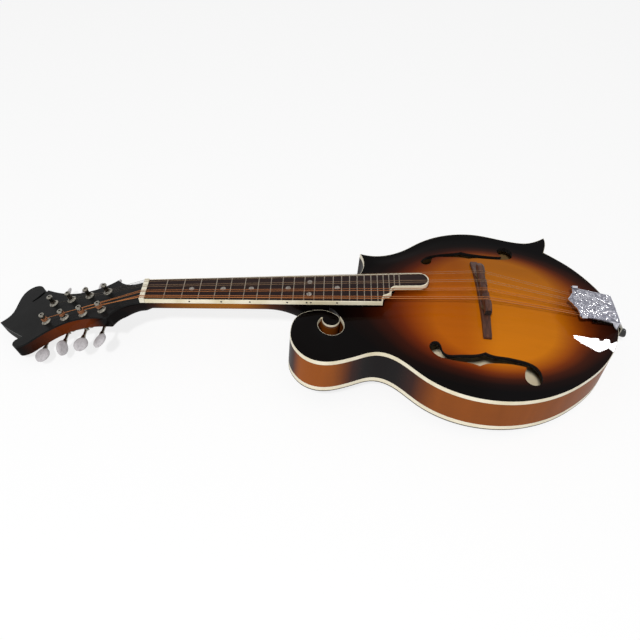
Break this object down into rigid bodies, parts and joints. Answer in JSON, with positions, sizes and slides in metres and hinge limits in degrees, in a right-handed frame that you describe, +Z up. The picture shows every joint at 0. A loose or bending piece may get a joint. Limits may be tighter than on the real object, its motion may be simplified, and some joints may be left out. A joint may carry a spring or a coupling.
{
  "type": "f-style mandolin",
  "caption": "F-style mandolin: carved scroll body with f-holes, neck with geared tuners, height-adjustable bridge, sliding tailpiece cover and paired strings.",
  "frame": {"origin": "centre of the small flat on the back plate's arch that the instrument lies on", "axes": "+X towards the tailpiece, +Y towards the treble side, +Z up out of the top; the head's tip rests on the same floor"},
  "size_m": [0.6841, 0.2533, 0.088],
  "materials": {
    "sunburst": "gloss sunburst lacquer on spruce",
    "maple": "gloss lacquer on figured maple",
    "cream": "cream binding",
    "bone": "polished bone colour",
    "black_lacquer": "gloss black lacquer",
    "ebony": "oiled dark wood",
    "bare_wood": "unfinished spruce",
    "steel": "plain steel",
    "chrome": "polished plate",
    "pearl": "pearl-patterned plastic",
    "bronze": "bronze-wound string",
    "plain_steel": "plain drawn wire"
  },
  "bodies": {
    "instrument": {"top_plate": "sunburst", "back_plate": "maple", "rim": "maple", "neck": "maple", "top_binding": "cream", "back_binding": "cream", "fingerboard_binding": "cream", "nut": "bone", "headstock_overlay": "black_lacquer", "end_pin": "black_lacquer", "fingerboard": "ebony", "bridge_base": "ebony", "neck_block": "bare_wood", "tail_block": "bare_wood", "bass_tone_bar": "bare_wood", "treble_tone_bar": "bare_wood", "upper_point_block": "bare_wood", "lower_point_block": "bare_wood", "truss_rod": "steel", "bridge_stud_bass": "steel", "bridge_stud_treble": "steel", "tailpiece_bracket": "chrome", "tuner_plate_bass": "chrome", "tuner_plate_treble": "chrome", "bushing_bass_1": "chrome", "bushing_bass_2": "chrome", "bushing_bass_3": "chrome", "bushing_bass_4": "chrome", "bushing_treble_1": "chrome", "bushing_treble_2": "chrome", "bushing_treble_3": "chrome", "bushing_treble_4": "chrome", "string_g1": "bronze", "string_g2": "bronze", "string_d1": "bronze", "string_d2": "bronze", "string_a1": "plain_steel", "string_a2": "plain_steel", "string_e1": "plain_steel", "string_e2": "plain_steel"},
    "button_bass_1": {"tuner_button_bass_1": "pearl"},
    "post_bass_1": {"tuner_post_bass_1": "chrome"},
    "button_bass_2": {"tuner_button_bass_2": "pearl"},
    "post_bass_2": {"tuner_post_bass_2": "chrome"},
    "button_bass_3": {"tuner_button_bass_3": "pearl"},
    "post_bass_3": {"tuner_post_bass_3": "chrome"},
    "button_bass_4": {"tuner_button_bass_4": "pearl"},
    "post_bass_4": {"tuner_post_bass_4": "chrome"},
    "button_treble_1": {"tuner_button_treble_1": "pearl"},
    "post_treble_1": {"tuner_post_treble_1": "chrome"},
    "button_treble_2": {"tuner_button_treble_2": "pearl"},
    "post_treble_2": {"tuner_post_treble_2": "chrome"},
    "button_treble_3": {"tuner_button_treble_3": "pearl"},
    "post_treble_3": {"tuner_post_treble_3": "chrome"},
    "button_treble_4": {"tuner_button_treble_4": "pearl"},
    "post_treble_4": {"tuner_post_treble_4": "chrome"},
    "saddle": {"bridge_saddle": "ebony"},
    "wheel_bass": {"thumbwheel_bass": "chrome"},
    "wheel_treble": {"thumbwheel_treble": "chrome"},
    "cover": {"tailpiece_cover": "chrome"}
  },
  "joints": [
    {"name": "button_spin_bass_1", "type": "hinge", "parent": "instrument", "child": "button_bass_1", "pos_m": [-0.43156, -0.0153, 0.03345], "axis": [0, 1, 0], "continuous": true},
    {"name": "post_spin_bass_1", "type": "hinge", "parent": "instrument", "child": "post_bass_1", "pos_m": [-0.43211, -0.0153, 0.05191], "axis": [-0.2938, 0, 0.9559], "continuous": true, "deforming": ["string_g1"]},
    {"name": "button_spin_bass_2", "type": "hinge", "parent": "instrument", "child": "button_bass_2", "pos_m": [-0.45297, -0.0153, 0.02687], "axis": [0, 1, 0], "continuous": true},
    {"name": "post_spin_bass_2", "type": "hinge", "parent": "instrument", "child": "post_bass_2", "pos_m": [-0.45352, -0.0153, 0.04533], "axis": [-0.2938, 0, 0.9559], "continuous": true, "deforming": ["string_g2"]},
    {"name": "button_spin_bass_3", "type": "hinge", "parent": "instrument", "child": "button_bass_3", "pos_m": [-0.47439, -0.0153, 0.02029], "axis": [0, 1, 0], "continuous": true},
    {"name": "post_spin_bass_3", "type": "hinge", "parent": "instrument", "child": "post_bass_3", "pos_m": [-0.47493, -0.0153, 0.03875], "axis": [-0.2938, 0, 0.9559], "continuous": true, "deforming": ["string_d1"]},
    {"name": "button_spin_bass_4", "type": "hinge", "parent": "instrument", "child": "button_bass_4", "pos_m": [-0.4958, -0.0153, 0.01371], "axis": [0, 1, 0], "continuous": true},
    {"name": "post_spin_bass_4", "type": "hinge", "parent": "instrument", "child": "post_bass_4", "pos_m": [-0.49634, -0.0153, 0.03216], "axis": [-0.2938, 0, 0.9559], "continuous": true, "deforming": ["string_d2"]},
    {"name": "button_spin_treble_1", "type": "hinge", "parent": "instrument", "child": "button_treble_1", "pos_m": [-0.43156, 0.0125, 0.03345], "axis": [0, 1, 0], "continuous": true},
    {"name": "post_spin_treble_1", "type": "hinge", "parent": "instrument", "child": "post_treble_1", "pos_m": [-0.43211, 0.0125, 0.05191], "axis": [-0.2938, 0, 0.9559], "continuous": true, "deforming": ["string_e2"]},
    {"name": "button_spin_treble_2", "type": "hinge", "parent": "instrument", "child": "button_treble_2", "pos_m": [-0.45297, 0.0125, 0.02687], "axis": [0, 1, 0], "continuous": true},
    {"name": "post_spin_treble_2", "type": "hinge", "parent": "instrument", "child": "post_treble_2", "pos_m": [-0.45352, 0.0125, 0.04533], "axis": [-0.2938, 0, 0.9559], "continuous": true, "deforming": ["string_e1"]},
    {"name": "button_spin_treble_3", "type": "hinge", "parent": "instrument", "child": "button_treble_3", "pos_m": [-0.47439, 0.0125, 0.02029], "axis": [0, 1, 0], "continuous": true},
    {"name": "post_spin_treble_3", "type": "hinge", "parent": "instrument", "child": "post_treble_3", "pos_m": [-0.47493, 0.0125, 0.03875], "axis": [-0.2938, 0, 0.9559], "continuous": true, "deforming": ["string_a2"]},
    {"name": "button_spin_treble_4", "type": "hinge", "parent": "instrument", "child": "button_treble_4", "pos_m": [-0.4958, 0.0125, 0.01371], "axis": [0, 1, 0], "continuous": true},
    {"name": "post_spin_treble_4", "type": "hinge", "parent": "instrument", "child": "post_treble_4", "pos_m": [-0.49634, 0.0125, 0.03216], "axis": [-0.2938, 0, 0.9559], "continuous": true, "deforming": ["string_a1"]},
    {"name": "saddle_lift", "type": "slide", "parent": "instrument", "child": "saddle", "axis": [0.0669, 0, 0.9978], "range_m": [0, 0.0025], "deforming": ["string_g1", "string_g2", "string_d1", "string_d2", "string_a1", "string_a2", "string_e1", "string_e2"]},
    {"name": "wheel_spin_bass", "type": "hinge", "parent": "saddle", "child": "wheel_bass", "pos_m": [-0.03429, -0.0235, 0.07609], "axis": [0.0669, 0, 0.9978], "range_deg": [0, 1800.01]},
    {"name": "wheel_spin_treble", "type": "hinge", "parent": "saddle", "child": "wheel_treble", "pos_m": [-0.03429, 0.0235, 0.07609], "axis": [0.0669, 0, 0.9978], "range_deg": [0, 1800.01]},
    {"name": "cover_slide", "type": "slide", "parent": "instrument", "child": "cover", "axis": [0.9978, 0, -0.0669], "range_m": [0, 0.045]}
  ],
  "couplings": [
    {"joint": "post_spin_bass_1", "follows": "button_spin_bass_1", "ratio": 0.083333},
    {"joint": "post_spin_bass_2", "follows": "button_spin_bass_2", "ratio": 0.083333},
    {"joint": "post_spin_bass_3", "follows": "button_spin_bass_3", "ratio": 0.083333},
    {"joint": "post_spin_bass_4", "follows": "button_spin_bass_4", "ratio": 0.083333},
    {"joint": "post_spin_treble_1", "follows": "button_spin_treble_1", "ratio": 0.083333},
    {"joint": "post_spin_treble_2", "follows": "button_spin_treble_2", "ratio": 0.083333},
    {"joint": "post_spin_treble_3", "follows": "button_spin_treble_3", "ratio": 0.083333},
    {"joint": "post_spin_treble_4", "follows": "button_spin_treble_4", "ratio": 0.083333},
    {"joint": "wheel_spin_bass", "follows": "saddle_lift", "rad_per_m": 12566},
    {"joint": "wheel_spin_treble", "follows": "saddle_lift", "rad_per_m": 12566}
  ]
}
